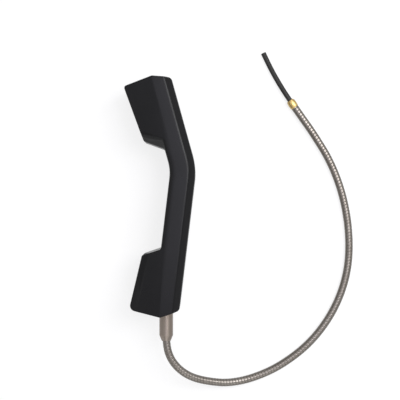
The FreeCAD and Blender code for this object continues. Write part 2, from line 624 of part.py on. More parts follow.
def receiver():
    inside = EAR_CAPSULE_R - CASE_WALL
    fit = inside - FIT
    rim = fit - RIM_WIDTH
    grille_back = CAPSULE_FRONT - GRILLE_THICK
    top = grille_back - GRILLE_ROOM
    under = top - DIAPHRAGM
    floor = CAPSULE_BACK + CASE_WALL
    pole_top = under - 3 * COIL_TRAVEL
    yoke_in = COIL_R + COIL_THICK + COIL_GAP
    yoke_out = yoke_in + YOKE_WALL
    dome_rim = COIL_R + COIL_THICK + COIL_RIM
    board_back = CAPSULE_BACK - TERMINAL_BOARD

    case = ring(EAR_CAPSULE_R, CAPSULE_BACK, CAPSULE_FRONT).cut(ring(inside, floor, CAPSULE_FRONT))
    grille = ring(fit, grille_back, CAPSULE_FRONT)
    grille = sound_holes(grille, hole_step(EAR_CAP_R), HOLE_R, grille_back, CAPSULE_FRONT)
    grille = grille.fuse(ring(fit, top, grille_back, rim))
    basket = ring(fit, pole_top - BASKET_THICK, pole_top, yoke_out + CLOSE_FIT)
    basket = basket.fuse(ring(fit, pole_top, under, rim))
    basket = basket.cut([ring(VENT_R, pole_top - BASKET_THICK, pole_top, 0, at)
                         for at in around(6, (rim + yoke_out) / 2)])
    yoke = ring(yoke_out, floor, pole_top).cut(ring(yoke_in, floor + YOKE_BASE, pole_top))

    crown = []
    for height in (top, under):
        half_way = Vector(COIL_R / 2, 0, height + DOME_RISE * 3 / 4)
        crown.append(Part.Arc(Vector(COIL_R, 0, height), half_way, Vector(0, 0, height + DOME_RISE)))
    dome = Part.Wire([crown[0].toShape(),
                      Part.LineSegment(crown[0].EndPoint, crown[1].EndPoint).toShape(),
                      crown[1].toShape(),
                      Part.LineSegment(crown[1].StartPoint, crown[0].StartPoint).toShape()])
    dome = Part.Face(dome).revolve(Vector(0, 0, 0), Vector(0, 0, 1), 360)
    dome = dome.fuse(ring(dome_rim, under, top, COIL_R)).removeSplitter()

    posts = [ring(TERMINAL_R, board_back - TERMINAL_LONG, board_back, 0, (0, out))
             for out in (-TERMINAL_OUT, TERMINAL_OUT)]
    seat_r = EAR_CAPSULE_R - SEAT_LEDGE
    pieces = {
        "receiver_front_gasket": ring(EAR_CAPSULE_R, CAPSULE_FRONT, -CAP_SKIRT_END, seat_r),
        "receiver_case": case,
        "receiver_grille": grille,
        "receiver_surround": ring(fit, under, top, dome_rim + SURROUND_GAP),
        "receiver_dome": dome,
        "receiver_voice_coil": ring(COIL_R + COIL_THICK, under - COIL_HIGH, under, COIL_R),
        "receiver_basket": basket,
        "receiver_pole_piece": ring(COIL_R - COIL_GAP, pole_top - POLE_HIGH, pole_top),
        "receiver_magnet": ring(COIL_R - 2 * COIL_GAP, floor + YOKE_BASE, pole_top - POLE_HIGH),
        "receiver_yoke": yoke,
        "receiver_terminal_board": ring(2 * TERMINAL_OUT, board_back, CAPSULE_BACK),
        "receiver_terminals": Part.makeCompound(posts),
        "receiver_rear_gasket": ring(EAR_CAPSULE_R, -CHAMBER, CAPSULE_BACK, seat_r),
        "hook_magnet": ring(MAGNET_R, -MAGNET_SEAT - MAGNET_LONG, -MAGNET_SEAT, 0, (-MAGNET_DOWN, 0))}
    for name, shape in pieces.items():
        keep(name, placed(shape, EAR))


# Microphone, its holder and the circuit board behind it

def component(size, at):
    """A round or a square component on the back of the board: its radius or sides, and its height."""
    low = BOARD_BACK - size[-1]
    at = [share * PILLAR_RING for share in at]
    if len(size) == 2:
        return ring(size[0], low, BOARD_BACK, 0, at)
    return block(size[0], size[1], low, BOARD_BACK, at)


def microphone():
    boot_in = MIC_R + FIT
    boot_out = boot_in + BOOT_WALL
    disc_back = CAPSULE_FRONT - HOLDER_DISC
    mic_front = CAPSULE_FRONT - FELT_THICK - FIT
    mic_back = mic_front - MIC_HIGH
    holder_in = HOLDER_R - HOLDER_WALL
    pillars = around(3, PILLAR_RING, PILLAR_TURN)
    pins = [(0, -PIN_OUT), (0, PIN_OUT)]

    holder = ring(HOLDER_R, disc_back, CAPSULE_FRONT, boot_out + FIT)
    holder = holder.fuse([ring(HOLDER_R, -CHAMBER, disc_back, holder_in)]
                         + [ring(PILLAR_R, BOARD_FRONT, disc_back, 0, at) for at in pillars])
    holder = holder.removeSplitter().cut(
        [ring(SCREW_R + CLOSE_FIT, BOARD_FRONT, disc_back, 0, at) for at in pillars])
    boot = ring(boot_out, mic_back, CAPSULE_FRONT - FIT, boot_in)
    boot = boot.fuse(ring(boot_out + BOOT_WALL, disc_back - BOOT_FLANGE, disc_back, boot_in))
    board = ring(holder_in - BOARD_EDGE_GAP, BOARD_BACK, BOARD_FRONT)
    board = board.cut([ring(SCREW_R + FIT, BOARD_BACK, BOARD_FRONT, 0, at) for at in pillars]
                      + [ring(PIN_R + PIN_HOLE_GAP, BOARD_BACK, BOARD_FRONT, 0, at) for at in pins])
    screws = []
    for at in pillars:
        head = ring(2 * SCREW_R, BOARD_BACK - 1.5 * SCREW_R, BOARD_BACK, 0, at)
        screws.append(head.fuse(ring(SCREW_R, BOARD_BACK, disc_back - SCREW_SHORT, 0, at)))
    terminal_block = block(BLOCK_DEEP, BLOCK_WIDE, BOARD_BACK - BLOCK_HIGH, BOARD_BACK, (BLOCK_AT, 0))
    pieces = {
        "mic_gasket": ring(HOLDER_R, CAPSULE_FRONT, -CAP_SKIRT_END, HOLDER_R - SEAT_LEDGE),
        "mic_holder": holder,
        "mic_boot": boot.removeSplitter(),
        "mic_felt": ring(MIC_R, mic_front, mic_front + FELT_THICK),
        "mic_capsule": ring(MIC_R, mic_back, mic_front),
        "mic_pins": Part.makeCompound([ring(PIN_R, BOARD_BACK - PIN_PAST, mic_back, 0, at) for at in pins]),
        "circuit_board": board,
        "board_screws": Part.makeCompound(screws),
        "board_inductor": component(INDUCTOR_SIZE, INDUCTOR_AT),
        "board_capacitor": component(CAPACITOR_SIZE, CAPACITOR_AT),
        "board_resistors": Part.makeCompound([component(RESISTOR_SIZE, at) for at in RESISTORS_AT]),
        "board_zener_diodes": Part.makeCompound([component(DIODE_SIZE, at) for at in DIODES_AT]),
        "board_terminal_block": terminal_block}
    for name, shape in pieces.items():
        keep(name, placed(shape, MOUTH))


# Wires inside the handset

def block_way(number, straight):
    """A way of the terminal block, after the straight length of the wire that comes to it."""
    side = (number - 1.5) * BLOCK_WIDE / 4
    entry = BOARD_BACK - BLOCK_HIGH
    return [MOUTH.multVec(Vector(BLOCK_AT, side, entry - out)) for out in (straight, 0)]


def wires():
    post = CAPSULE_BACK - TERMINAL_BOARD - TERMINAL_LONG
    middle = BAR_DEPTH / 2
    for colour, side, number in (("red", -1, 0), ("black", 1, 1)):
        start = [EAR.multVec(Vector(0, side * TERMINAL_OUT, post - out)) for out in (0, LEAD_OUT)]
        across = LEAD_BOW - side * LEADS_APART / 2
        along = [bar_point(EAR_UP - LEAD_TURN, middle, across),
                 bar_point(LEAD_BEND, middle + LEAD_BOW, across),
                 bar_point(-LEAD_BEND, middle + LEAD_BOW, across),
                 bar_point(-MOUTH_DOWN / 2, middle + LEAD_BOW / 2, across),
                 bar_point(LEAD_TURN - MOUTH_DOWN, middle, across)]
        name = "receiver_lead_" + colour
        keep(name, tube(name, start + along + block_way(number, LEAD_OUT), WIRE_R))
    for colour, side, number in (("white", 1, 2), ("green", -1, 3)):
        start = [SLEEVE.multVec(Vector(0, 0, -CABLE_IN - out)) + Vector(0, 0, side * CORES_APART / 2)
                 for out in (0, CORE_OUT)]
        name = "line_core_" + colour
        keep(name, tube(name, start + block_way(number, CORE_OUT), WIRE_R))


# Sleeve, hose and cable

def sleeve_parts():
    shoulder = -SLEEVE_IN
    straight = SLEEVE_OUT - SLEEVE_TAPER
    floor = SLEEVE_OUT - SOCKET_DEEP
    washer_back = -NUT_SEAT - WASHER_THICK
    nut_back = washer_back - NUT_HIGH
    tie_low = TIE_INSET - CABLE_IN
    tie_high = tie_low + TIE_WIDE

    sleeve = ring(SLEEVE_R, shoulder, straight).fuse([
        Part.makeCone(SLEEVE_R, SLEEVE_MOUTH_R, SLEEVE_TAPER, Vector(0, 0, straight)),
        ring(NECK_R, -NECK_IN, shoulder)]).removeSplitter()
    sleeve = sleeve.cut([ring(HOSE_R + FIT, floor, SLEEVE_OUT), ring(CABLE_R + FIT, -NECK_IN, floor)])
    hexagon = [(Vector(x, y, nut_back), 0) for x, y in around(6, NUT_CORNER)]
    nut = Part.Face(outline(hexagon)).extrude(Vector(0, 0, NUT_HIGH))
    tie = ring(CABLE_R + TIE_THICK, tie_low, tie_high, CABLE_R + CLOSE_FIT)
    head = block(TIE_HEAD, TIE_HEAD, tie_low, tie_high, (CABLE_R + CLOSE_FIT + TIE_HEAD / 2, 0))
    pieces = {
        "cord_sleeve": sleeve,
        "sleeve_seal": ring(SLEEVE_R, shoulder - SEAL_THICK, shoulder, NECK_R + FIT),
        "sleeve_washer": ring(NUT_CORNER, washer_back, -NUT_SEAT, NECK_R + FIT),
        "sleeve_nut": nut.cut(ring(NECK_R + CLOSE_FIT, nut_back, washer_back)),
        "cable_in_handset": ring(CABLE_R, -CABLE_IN, floor),
        "cable_tie": tie.fuse(head).removeSplitter()}
    for name, shape in pieces.items():
        keep(name, placed(shape, SLEEVE))


def cord():
    lift = MID - HOSE_R
    route = [Vector(EXIT.x + x, EXIT.y + y, HOSE_R + share * lift) for x, y, share in HOSE_ROUTE]
    keep("armoured_hose", ribbed_hose("armoured_hose", route, HOSE_R, HOSE_BORE_R, HOSE_GROOVE, HOSE_PITCH))
    keep("cable_in_hose", tube("cable_in_hose", route, CABLE_R))
    end = route[-1]
    ahead = (route[-1] - route[-2]).normalize()
    ferrule = ring(FERRULE_R, -FERRULE_SOCKET, FERRULE_END)
    ferrule = ferrule.cut([ring(HOSE_R + FIT, -FERRULE_SOCKET, 0), ring(CABLE_R + FIT, 0, FERRULE_END)])
    keep("hose_ferrule", placed(ferrule, FreeCAD.Placement(end, FreeCAD.Rotation(Vector(0, 0, 1), ahead))))
    drop = end.z - CABLE_R
    tail = [Vector(end.x + x, end.y + y, CABLE_R + share * drop) for x, y, share in TAIL_ROUTE]
    keep("cable_tail", tube("cable_tail", tail, CABLE_R))


keep("handle_body", handle_body())
cap_parts("ear", EAR_CAP_R, EAR)
cap_parts("mouth", MOUTH_CAP_R, MOUTH)
receiver()
microphone()
wires()
sleeve_parts()
cord()

# The origin goes under the middle of the handset, its sleeve included and its cord left out.
box = PARTS["handle_body"].optimalBoundingBox(False)
box.add(PARTS["cord_sleeve"].optimalBoundingBox(False))
shift = Vector(-box.Center.x, -box.Center.y, 0)
print("handset %.1f x %.1f x %.1f, moved by %.3f %.3f" % (
    box.XLength, box.YLength, box.ZLength, shift.x, shift.y))
print("exit", EXIT + shift, "ear", EAR.Base + shift, "mouth", MOUTH.Base + shift)

os.makedirs("parts", exist_ok=True)
for name, shape in PARTS.items():
    shape = shape.copy()
    shape.translate(shift)
    if not shape.isValid():
        print("not valid:", name)
    shape.exportStep("parts/%s.step" % name)
print(len(PARTS), "nodes,", sum(len(shape.Solids) for shape in PARTS.values()), "solids")
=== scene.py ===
"""A heavy-duty telephone handset with its armoured cord, lying on its side on a white table."""

import math

import bmesh
import bpy
from mathutils import Matrix, Vector


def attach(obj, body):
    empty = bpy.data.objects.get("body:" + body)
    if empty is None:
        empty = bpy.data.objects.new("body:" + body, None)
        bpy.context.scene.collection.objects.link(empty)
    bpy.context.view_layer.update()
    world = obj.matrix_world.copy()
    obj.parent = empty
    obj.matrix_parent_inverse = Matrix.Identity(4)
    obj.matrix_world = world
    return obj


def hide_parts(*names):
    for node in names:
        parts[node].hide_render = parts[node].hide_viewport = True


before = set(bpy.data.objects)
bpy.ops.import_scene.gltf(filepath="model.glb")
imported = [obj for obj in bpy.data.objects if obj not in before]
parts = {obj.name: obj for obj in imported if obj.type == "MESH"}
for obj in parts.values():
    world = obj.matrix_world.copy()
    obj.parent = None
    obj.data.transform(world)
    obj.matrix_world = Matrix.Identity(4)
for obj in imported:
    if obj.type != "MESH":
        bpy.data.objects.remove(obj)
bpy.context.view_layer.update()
scene = bpy.context.scene


def srgb(red, green, blue):
    """A colour as it looks on a screen, 0 to 255."""
    return tuple((v / 255 / 12.92 if v <= 10 else ((v / 255 + 0.055) / 1.055) ** 2.4)
                 for v in (red, green, blue)) + (1.0,)


def shade(colour, factor):
    """The same colour made darker or lighter."""
    return tuple(min(1.0, factor * v) for v in colour[:3]) + (1.0,)


# Camera, straight above the table

EYE_HEIGHT = 0.900
HALF_PICTURE = 0.1868       # half the width of table that the picture shows
PICTURE_MIDDLE = (0.03571, 0.00876)

eye = bpy.data.cameras.new("overhead_camera")
eye.angle = 2 * math.atan(HALF_PICTURE / EYE_HEIGHT)
camera = bpy.data.objects.new("overhead_camera", eye)
camera.location = (*PICTURE_MIDDLE, EYE_HEIGHT)
scene.collection.objects.link(camera)
scene.camera = camera


# Building blocks for node trees

def node(tree, kind, sockets=None, **settings):
    """One node, with each named or numbered input set to a value or joined to another node's output."""
    made = tree.nodes.new(kind)
    for name, value in settings.items():
        setattr(made, name, value)
    for name, value in (sockets or {}).items():
        if isinstance(value, bpy.types.NodeSocket):
            tree.links.new(value, made.inputs[name])
        else:
            made.inputs[name].default_value = value
    return made


def maths(tree, operation, *values):
    """A sum on plain numbers."""
    return node(tree, "ShaderNodeMath", dict(enumerate(values)), operation=operation).outputs[0]


def vectors(tree, operation, *values):
    """A sum on places or directions."""
    made = node(tree, "ShaderNodeVectorMath", dict(enumerate(values)), operation=operation)
    return made.outputs["Value" if operation == "DOT_PRODUCT" else "Vector"]


def stretched(tree, direction, length):
    """A direction made longer or shorter."""
    return node(tree, "ShaderNodeVectorMath", {0: direction, "Scale": length}, operation="SCALE").outputs["Vector"]


def remap(tree, value, low, high, to_low=0.0, to_high=1.0, kind="LINEAR"):
    """A value carried from one range to another and kept inside it."""
    return node(tree, "ShaderNodeMapRange", {
        "Value": value, "From Min": low, "From Max": high, "To Min": to_low, "To Max": to_high,
    }, interpolation_type=kind).outputs["Result"]


def blend(tree, share, first, second):
    """Two colours mixed: a share of 1 is all second. A mix node numbers its colours 6 and 7, its result 2."""
    return node(tree, "ShaderNodeMix", {0: share, 6: first, 7: second}, data_type="RGBA").outputs[2]


def here(tree):
    """The place on the piece itself, which each pattern follows."""
    return node(tree, "ShaderNodeTexCoord").outputs["Object"]


def noise(tree, place, scale, detail=2.0, roughness=0.5):
    """Soft random patches, with scale patches or so to the metre."""
    return node(tree, "ShaderNodeTexNoise", {
        "Vector": place, "Scale": scale, "Detail": detail, "Roughness": roughness}).outputs["Fac"]


def relief(tree, height, depth, **under):
    """The direction of a surface with a fine relief of some depth."""
    return node(tree, "ShaderNodeBump", {"Height": height, "Distance": depth, **under}).outputs["Normal"]


def effect(name, inputs, outputs):
    """An empty shared node group with its way in and its way out."""
    tree = bpy.data.node_groups.new(name, "ShaderNodeTree")
    for label, value in inputs.items():
        kind = "NodeSocketVector" if isinstance(value, tuple) else "NodeSocketFloat"
        tree.interface.new_socket(label, in_out="INPUT", socket_type=kind).default_value = value
    for label, kind in outputs.items():
        tree.interface.new_socket(label, in_out="OUTPUT", socket_type=kind)
    return tree, tree.nodes.new("NodeGroupInput").outputs, tree.nodes.new("NodeGroupOutput").inputs


def use(tree, group, sockets=None):
    """What a shared effect gives with its own values in one material."""
    return node(tree, "ShaderNodeGroup", sockets, node_tree=group).outputs


# Shared surface effects

def moulded_grain():
    """The fine orange-peel that a steel mould leaves on plastic, with faint flow marks."""
    tree, given, result = effect("moulded_grain", {"Size": 0.0006, "Depth": 0.00001, "Normal": (0.0, 0.0, 0.0)},
                                 {"Normal": "NodeSocketVector", "Cloud": "NodeSocketFloat"})
    place = here(tree)
    fine = noise(tree, place, maths(tree, "DIVIDE", 1.0, given["Size"]), 3.0)
    broad = noise(tree, place, 55.0, 3.0, 0.6)
    tree.links.new(relief(tree, fine, given["Depth"], Normal=given["Normal"]), result["Normal"])
    tree.links.new(broad, result["Cloud"])
    return tree


def rubbed_edges():
    """Soft edges, and a mask of where hands and hooks have rubbed them."""
    tree, given, result = effect("rubbed_edges", {"Radius": 0.0006, "Wear": 0.5},
                                 {"Normal": "NodeSocketVector", "Mask": "NodeSocketFloat"})
    place = here(tree)
    soft = node(tree, "ShaderNodeBevel", {"Radius": given["Radius"]}, samples=6).outputs["Normal"]
    flat = node(tree, "ShaderNodeNewGeometry").outputs["Normal"]
    turn = maths(tree, "SUBTRACT", 1.0, vectors(tree, "DOT_PRODUCT", soft, flat))
    edge = remap(tree, turn, 0.01, 0.12, kind="SMOOTHSTEP")
    patchy = remap(tree, noise(tree, place, 220.0, 4.0, 0.7), 0.38, 0.62)
    mask = maths(tree, "MULTIPLY", maths(tree, "MULTIPLY", edge, patchy), given["Wear"])
    tree.links.new(soft, result["Normal"])
    tree.links.new(mask, result["Mask"])
    return tree


def settled_dust():
    """Grey dust held in corners and round the feet of raised parts."""
    tree, given, result = effect("settled_dust", {"Reach": 0.003, "Amount": 0.5}, {"Mask": "NodeSocketFloat"})
    place = here(tree)
    open_sky = node(tree, "ShaderNodeAmbientOcclusion", {"Distance": given["Reach"]}, samples=6).outputs["AO"]
    corner = remap(tree, open_sky, 0.35, 0.85, 1.0, 0.0)
    patchy = remap(tree, noise(tree, place, 400.0, 4.0, 0.7), 0.3, 0.7)
    tree.links.new(maths(tree, "MULTIPLY", maths(tree, "MULTIPLY", corner, patchy), given["Amount"]), result["Mask"])
    return tree


def lathe_marks():
    """Fine rings that a turning tool leaves round an axis."""
    tree, given, result = effect("lathe_marks", {
        "Axis": (0.0, 0.0, 1.0), "Pitch": 0.0002, "Depth": 0.000004, "Normal": (0.0, 0.0, 0.0),
    }, {"Normal": "NodeSocketVector", "Ring": "NodeSocketFloat"})
    place = here(tree)
    along = vectors(tree, "DOT_PRODUCT", place, given["Axis"])
    steps = maths(tree, "DIVIDE", along, given["Pitch"])
    ring = node(tree, "ShaderNodeTexNoise", {"W": steps, "Scale": 1.0, "Detail": 3.0}, noise_dimensions="1D")
    tree.links.new(relief(tree, ring.outputs["Fac"], given["Depth"], Normal=given["Normal"]), result["Normal"])
    tree.links.new(ring.outputs["Fac"], result["Ring"])
    return tree


GRAIN = moulded_grain()
RUBBED = rubbed_edges()
DUST = settled_dust()
LATHE = lathe_marks()


# Materials: a part's colour, finish and roughness, with sizes in metres

def blank(name, **surface):
    """A material with one surface shader, and its tree and that shader."""
    material = bpy.data.materials.new(name)
    material.use_nodes = True
    tree = material.node_tree
    tree.nodes.clear()
    shader = node(tree, "ShaderNodeBsdfPrincipled", surface)
    out = node(tree, "ShaderNodeOutputMaterial")
    tree.links.new(shader.outputs["BSDF"], out.inputs["Surface"])
    return material, tree, shader


def join(tree, shader, **sockets):
    """Join what a material has worked out to its shader."""
    names = {"colour": "Base Color", "rough": "Roughness", "normal": "Normal"}
    for name, value in sockets.items():
        tree.links.new(value, shader.inputs[names[name]])


def moulded(name, colour, worn, rough, grain=0.0007, depth=0.00001, radius=0.0006, wear=0.5, dust=0.35,
            shine=0.5):
    """Hard moulded plastic with soft edges, rubbed where it is handled, and dusty in its corners."""
    material, tree, shader = blank(name, **{"Specular IOR Level": shine})
    edges = use(tree, RUBBED, {"Radius": radius, "Wear": wear})
    skin = use(tree, GRAIN, {"Size": grain, "Depth": depth, "Normal": edges["Normal"]})
    dusty = use(tree, DUST, {"Amount": dust})["Mask"]
    cloudy = remap(tree, skin["Cloud"], 0.3, 0.7)
    base = blend(tree, cloudy, colour, shade(colour, 0.8))
    base = blend(tree, edges["Mask"], base, worn)
    base = blend(tree, dusty, base, srgb(104, 100, 94))
    smooth = maths(tree, "ADD", maths(tree, "MULTIPLY", cloudy, 0.07), rough)
    smooth = maths(tree, "SUBTRACT", smooth, maths(tree, "MULTIPLY", edges["Mask"], 0.12))
    smooth = maths(tree, "ADD", smooth, maths(tree, "MULTIPLY", dusty, 0.3))
    join(tree, shader, colour=base, rough=smooth, normal=skin["Normal"])
    return material


def handset_moulding():
    """The handle's thick satin moulding."""
    return moulded("handset_moulding", srgb(7, 7, 10), srgb(38, 37, 42), 0.27,
                   radius=0.0015, wear=0.35, dust=0.15, shine=0.2)


def cap_moulding():
    """The duller moulding of the screw caps."""
    return moulded("cap_moulding", srgb(18, 18, 19), srgb(46, 45, 46), 0.38, radius=0.0003, wear=0.7)


def rubber(name, colour):
    """Matt rubber, a little bloomed."""
    material, tree, shader = blank(name, **{"Specular IOR Level": 0.35})
    skin = use(tree, GRAIN, {"Size": 0.0003, "Depth": 0.000012})
    base = blend(tree, remap(tree, skin["Cloud"], 0.3, 0.7), colour, shade(colour, 1.5))
    join(tree, shader, colour=base, rough=remap(tree, skin["Cloud"], 0.3, 0.7, 0.55, 0.7), normal=skin["Normal"])
    return material


def turned_steel(name, colour, axis, rough=0.3, stain=0.25):
    """Turned stainless steel, a little browned by handling."""
    material, tree, shader = blank(name, Metallic=1.0)
    edges = use(tree, RUBBED, {"Radius": 0.0003, "Wear": 0.6})
    rings = use(tree, LATHE, {"Axis": axis, "Normal": edges["Normal"]})
    place = here(tree)
    cloud = remap(tree, noise(tree, place, 120.0, 4.0, 0.65), 0.4, 0.7)
    base = blend(tree, maths(tree, "MULTIPLY", cloud, stain), colour, srgb(122, 104, 84))
    base = blend(tree, maths(tree, "MULTIPLY", rings["Ring"], 0.25), base, srgb(110, 104, 98))
    base = blend(tree, edges["Mask"], base, srgb(225, 222, 216))
    dull = maths(tree, "ADD", maths(tree, "MULTIPLY", rings["Ring"], 0.12), rough)
    join(tree, shader, colour=base, rough=dull, normal=rings["Normal"])
    return material


def hose_steel():
    """Stainless strip wound into the hose: bright crowns, with its grooves painted darker by their depth as painted
    shade.
    """
    material, tree, shader = blank("hose_steel", Metallic=1.0)
    place = here(tree)
    depth = node(tree, "ShaderNodeAttribute", attribute_name="depth").outputs["Fac"]
    groove = remap(tree, depth, 0.25, 0.9, kind="SMOOTHSTEP")
    cloud = remap(tree, noise(tree, place, 90.0, 4.0, 0.65), 0.35, 0.7)
    scratch = noise(tree, place, 2600.0, 2.0, 0.6)
    base = blend(tree, maths(tree, "MULTIPLY", cloud, 0.5), srgb(122, 117, 112), srgb(98, 91, 83))
    # Painted shade: the deeper the groove, the more its colour is pulled towards a dark brown.
    base = blend(tree, maths(tree, "MULTIPLY", groove, 0.6), base, srgb(44, 40, 35))
    dull = remap(tree, scratch, 0.3, 0.7, 0.28, 0.36)
    join(tree, shader, colour=base, rough=maths(tree, "ADD", dull, maths(tree, "MULTIPLY", groove, 0.3)),
         normal=relief(tree, scratch, 0.000004))
    return material


def turned_brass(name, axis):
    """Turned brass, dulled in patches and bright on its edges."""
    material, tree, shader = blank(name, Metallic=1.0)
    edges = use(tree, RUBBED, {"Radius": 0.0002, "Wear": 0.7})
    rings = use(tree, LATHE, {"Axis": axis, "Pitch": 0.00018, "Normal": edges["Normal"]})
    place = here(tree)
    cloud = remap(tree, noise(tree, place, 260.0, 4.0, 0.7), 0.35, 0.7)
    base = blend(tree, cloud, srgb(203, 176, 116), srgb(158, 134, 88))
    base = blend(tree, edges["Mask"], base, srgb(240, 222, 170))
    dull = maths(tree, "ADD", maths(tree, "MULTIPLY", rings["Ring"], 0.15), 0.26)
    join(tree, shader, colour=base, rough=maths(tree, "ADD", dull, maths(tree, "MULTIPLY", cloud, 0.1)),
         normal=rings["Normal"])
    return material


def plated(name, colour, rough):
    """Small plated metal parts: even, slightly mottled."""
    material, tree, shader = blank(name, Metallic=1.0)
    edges = use(tree, RUBBED, {"Radius": 0.0001, "Wear": 0.5})
    skin = use(tree, GRAIN, {"Size": 0.0002, "Depth": 0.000003, "Normal": edges["Normal"]})
    base = blend(tree, remap(tree, skin["Cloud"], 0.3, 0.7), colour, shade(colour, 0.75))
    join(tree, shader, colour=base, rough=remap(tree, skin["Cloud"], 0.3, 0.7, rough, rough + 0.15),
         normal=skin["Normal"])
    return material


def copper_winding():
    """Lacquered wire laid turn beside turn round the receiver's axis."""
    material, tree, shader = blank("copper_winding", Metallic=1.0, **{"Coat Weight": 0.6})
    rings = use(tree, LATHE, {"Axis": tuple(EAR_AXIS), "Pitch": 0.00006, "Depth": 0.00002})
    base = blend(tree, rings["Ring"], srgb(178, 96, 58), srgb(120, 58, 34))
    join(tree, shader, colour=base, rough=remap(tree, rings["Ring"], 0.3, 0.7, 0.3, 0.45), normal=rings["Normal"])
    return material


def board_laminate():
    """Green solder mask over glass cloth."""
    material, tree, shader = blank("board_laminate", **{"Coat Weight": 0.4})
    place = here(tree)
    warp, weft = (node(tree, "ShaderNodeTexWave", {"Vector": place, "Scale": 900.0, "Distortion": 0.6},
                       bands_direction=way).outputs["Fac"] for way in "YZ")
    cloth = maths(tree, "MULTIPLY", warp, weft)
    base = blend(tree, cloth, srgb(30, 92, 52), srgb(44, 118, 66))
    join(tree, shader, colour=base, rough=remap(tree, cloth, 0.0, 1.0, 0.3, 0.42),
         normal=relief(tree, cloth, 0.00001))
    return material


def felt():
    """Dark pressed wool."""
    material, tree, shader = blank("felt", **{"Sheen Weight": 0.5, "Sheen Roughness": 0.6})
    place = here(tree)
    fluff = noise(tree, place, 3500.0, 4.0, 0.75)
    base = blend(tree, fluff, srgb(28, 28, 29), srgb(66, 66, 68))
    join(tree, shader, colour=base, rough=remap(tree, fluff, 0.3, 0.7, 0.85, 1.0),
         normal=relief(tree, fluff, 0.0001))
    return material


def diaphragm_film():
    """Formed amber film, glossy with faint ripples."""
    material, tree, shader = blank("diaphragm_film", **{"Coat Weight": 0.5})
    place = here(tree)
    ripple = noise(tree, place, 700.0, 2.0)
    base = blend(tree, ripple, srgb(186, 168, 128), srgb(214, 200, 162))
    join(tree, shader, colour=base, rough=remap(tree, ripple, 0.3, 0.7, 0.2, 0.35),
         normal=relief(tree, ripple, 0.00002))
    return material


def small_plastic(name, colour, rough):
    """The finer plastic of small parts."""
    return moulded(name, colour, shade(colour, 1.6), rough,
                   grain=0.0003, depth=0.000005, radius=0.00015, wear=0.4, dust=0.2)


def insulation(name, colour):
    """Extruded wire covering with faint streaks."""
    material, tree, shader = blank(name, **{"Specular IOR Level": 0.5})
    place = here(tree)
    streak = noise(tree, place, 1500.0, 2.0)
    base = blend(tree, streak, colour, shade(colour, 0.75))
    join(tree, shader, colour=base, rough=remap(tree, streak, 0.3, 0.7, 0.35, 0.5),
         normal=relief(tree, streak, 0.000008))
    return material


# Where things are

EXIT = Vector((0.005039, -0.118868, 0.025))     # the mouth of the sleeve, where the hose comes out
EAR_AXIS = Vector((-0.93909, -0.34366, 0.0))    # the way that the ear cap faces
MOUTH_AXIS = Vector((-0.97278, 0.23175, 0.0))   # the way that the mouth cap faces
HOSE_R = 0.0035
CABLE_R = 0.00235
HOSE_PITCH = 0.0029         # of its wound strip
HOSE_STEPS = 14             # points along one turn of the strip's profile
HOSE_SIDES = 24             # points round the hose
GROOVE_DEPTH = 0.0002
GROOVE_PROFILE = ((0.07, 0.4), (0.14, 0.04), (0.22, 0.0), (0.78, 0.0), (0.86, 0.04), (0.93, 0.4))
HOSE_WELD = 0.00002         # how near two points of the hose are made one
END_TRIM = 0.0001           # what the hose loses when its ends are squared off
KNIFE = 1e-7                # how near the plane of a cut a point counts as on it
MIDDLE_LIFT = EXIT.z - HOSE_R

# The hose's points across, along and up, and the cable's beyond the ferrule: in millimetres from the sleeve's
# mouth or the hose's end, with 1 for that height and 0 for the table

HOSE_ROUTE = [
    (0.0, 8.0, 1.0), (0.0, -5.0, 1.0), (4.2, -17.4, 0.98), (12.5, -27.5, 0.88), (24.0, -35.0, 0.70),
    (39.5, -39.5, 0.44), (57.5, -42.0, 0.18), (80.0, -38.0, 0.02), (106.0, -26.5, 0.0), (134.0, -5.0, 0.0),
    (155.5, 24.5, 0.0), (168.0, 58.5, 0.0), (170.0, 93.5, 0.0), (164.5, 130.0, 0.0), (152.5, 163.0, 0.0),
    (135.0, 191.0, 0.01), (124.5, 205.5, 0.024), (115.5, 218.5, 0.024)]
TAIL_ROUTE = [(0.0, 0.0, 1.0), (-5.4, 7.8, 1.0), (-13.1, 20.7, 0.4), (-19.8, 33.0, 0.0), (-25.8, 45.9, 0.0)]

HOSE_LINE = [Vector((EXIT.x + x / 1000, EXIT.y + y / 1000, HOSE_R + share * MIDDLE_LIFT))
             for x, y, share in HOSE_ROUTE]
HOSE_END = HOSE_LINE[-1]
HOSE_AHEAD = (HOSE_LINE[-1] - HOSE_LINE[-2]).normalized()
TAIL_LINE = [Vector((HOSE_END.x + x / 1000, HOSE_END.y + y / 1000,
                     CABLE_R + share * (HOSE_END.z - CABLE_R))) for x, y, share in TAIL_ROUTE]


# Cord: armoured hose, ferrule and the cable that comes out of it

def line(name, points, radius=0.0):
    """A smooth curve that the points pull into shape, as a round rod if it has a radius."""
    curve = bpy.data.curves.new(name, "CURVE")
    curve.dimensions = "3D"
    curve.resolution_u = 16
    curve.bevel_depth = radius
    curve.bevel_resolution = 6
    curve.use_fill_caps = radius > 0
    spline = curve.splines.new("NURBS")
    spline.points.add(len(points) - 1)
    for point, place in zip(spline.points, points):
        point.co = (*place, 1.0)
    spline.order_u = 3
    spline.use_endpoint_u = True
    made = bpy.data.objects.new(name, curve)
    scene.collection.objects.link(made)
    return made


def baked(made):
    """The mesh that an object's curve or modifiers give."""
    bpy.context.view_layer.update()
    graph = bpy.context.evaluated_depsgraph_get()
    return bpy.data.meshes.new_from_object(made.evaluated_get(graph), preserve_all_data_layers=True,
                                           depsgraph=graph)


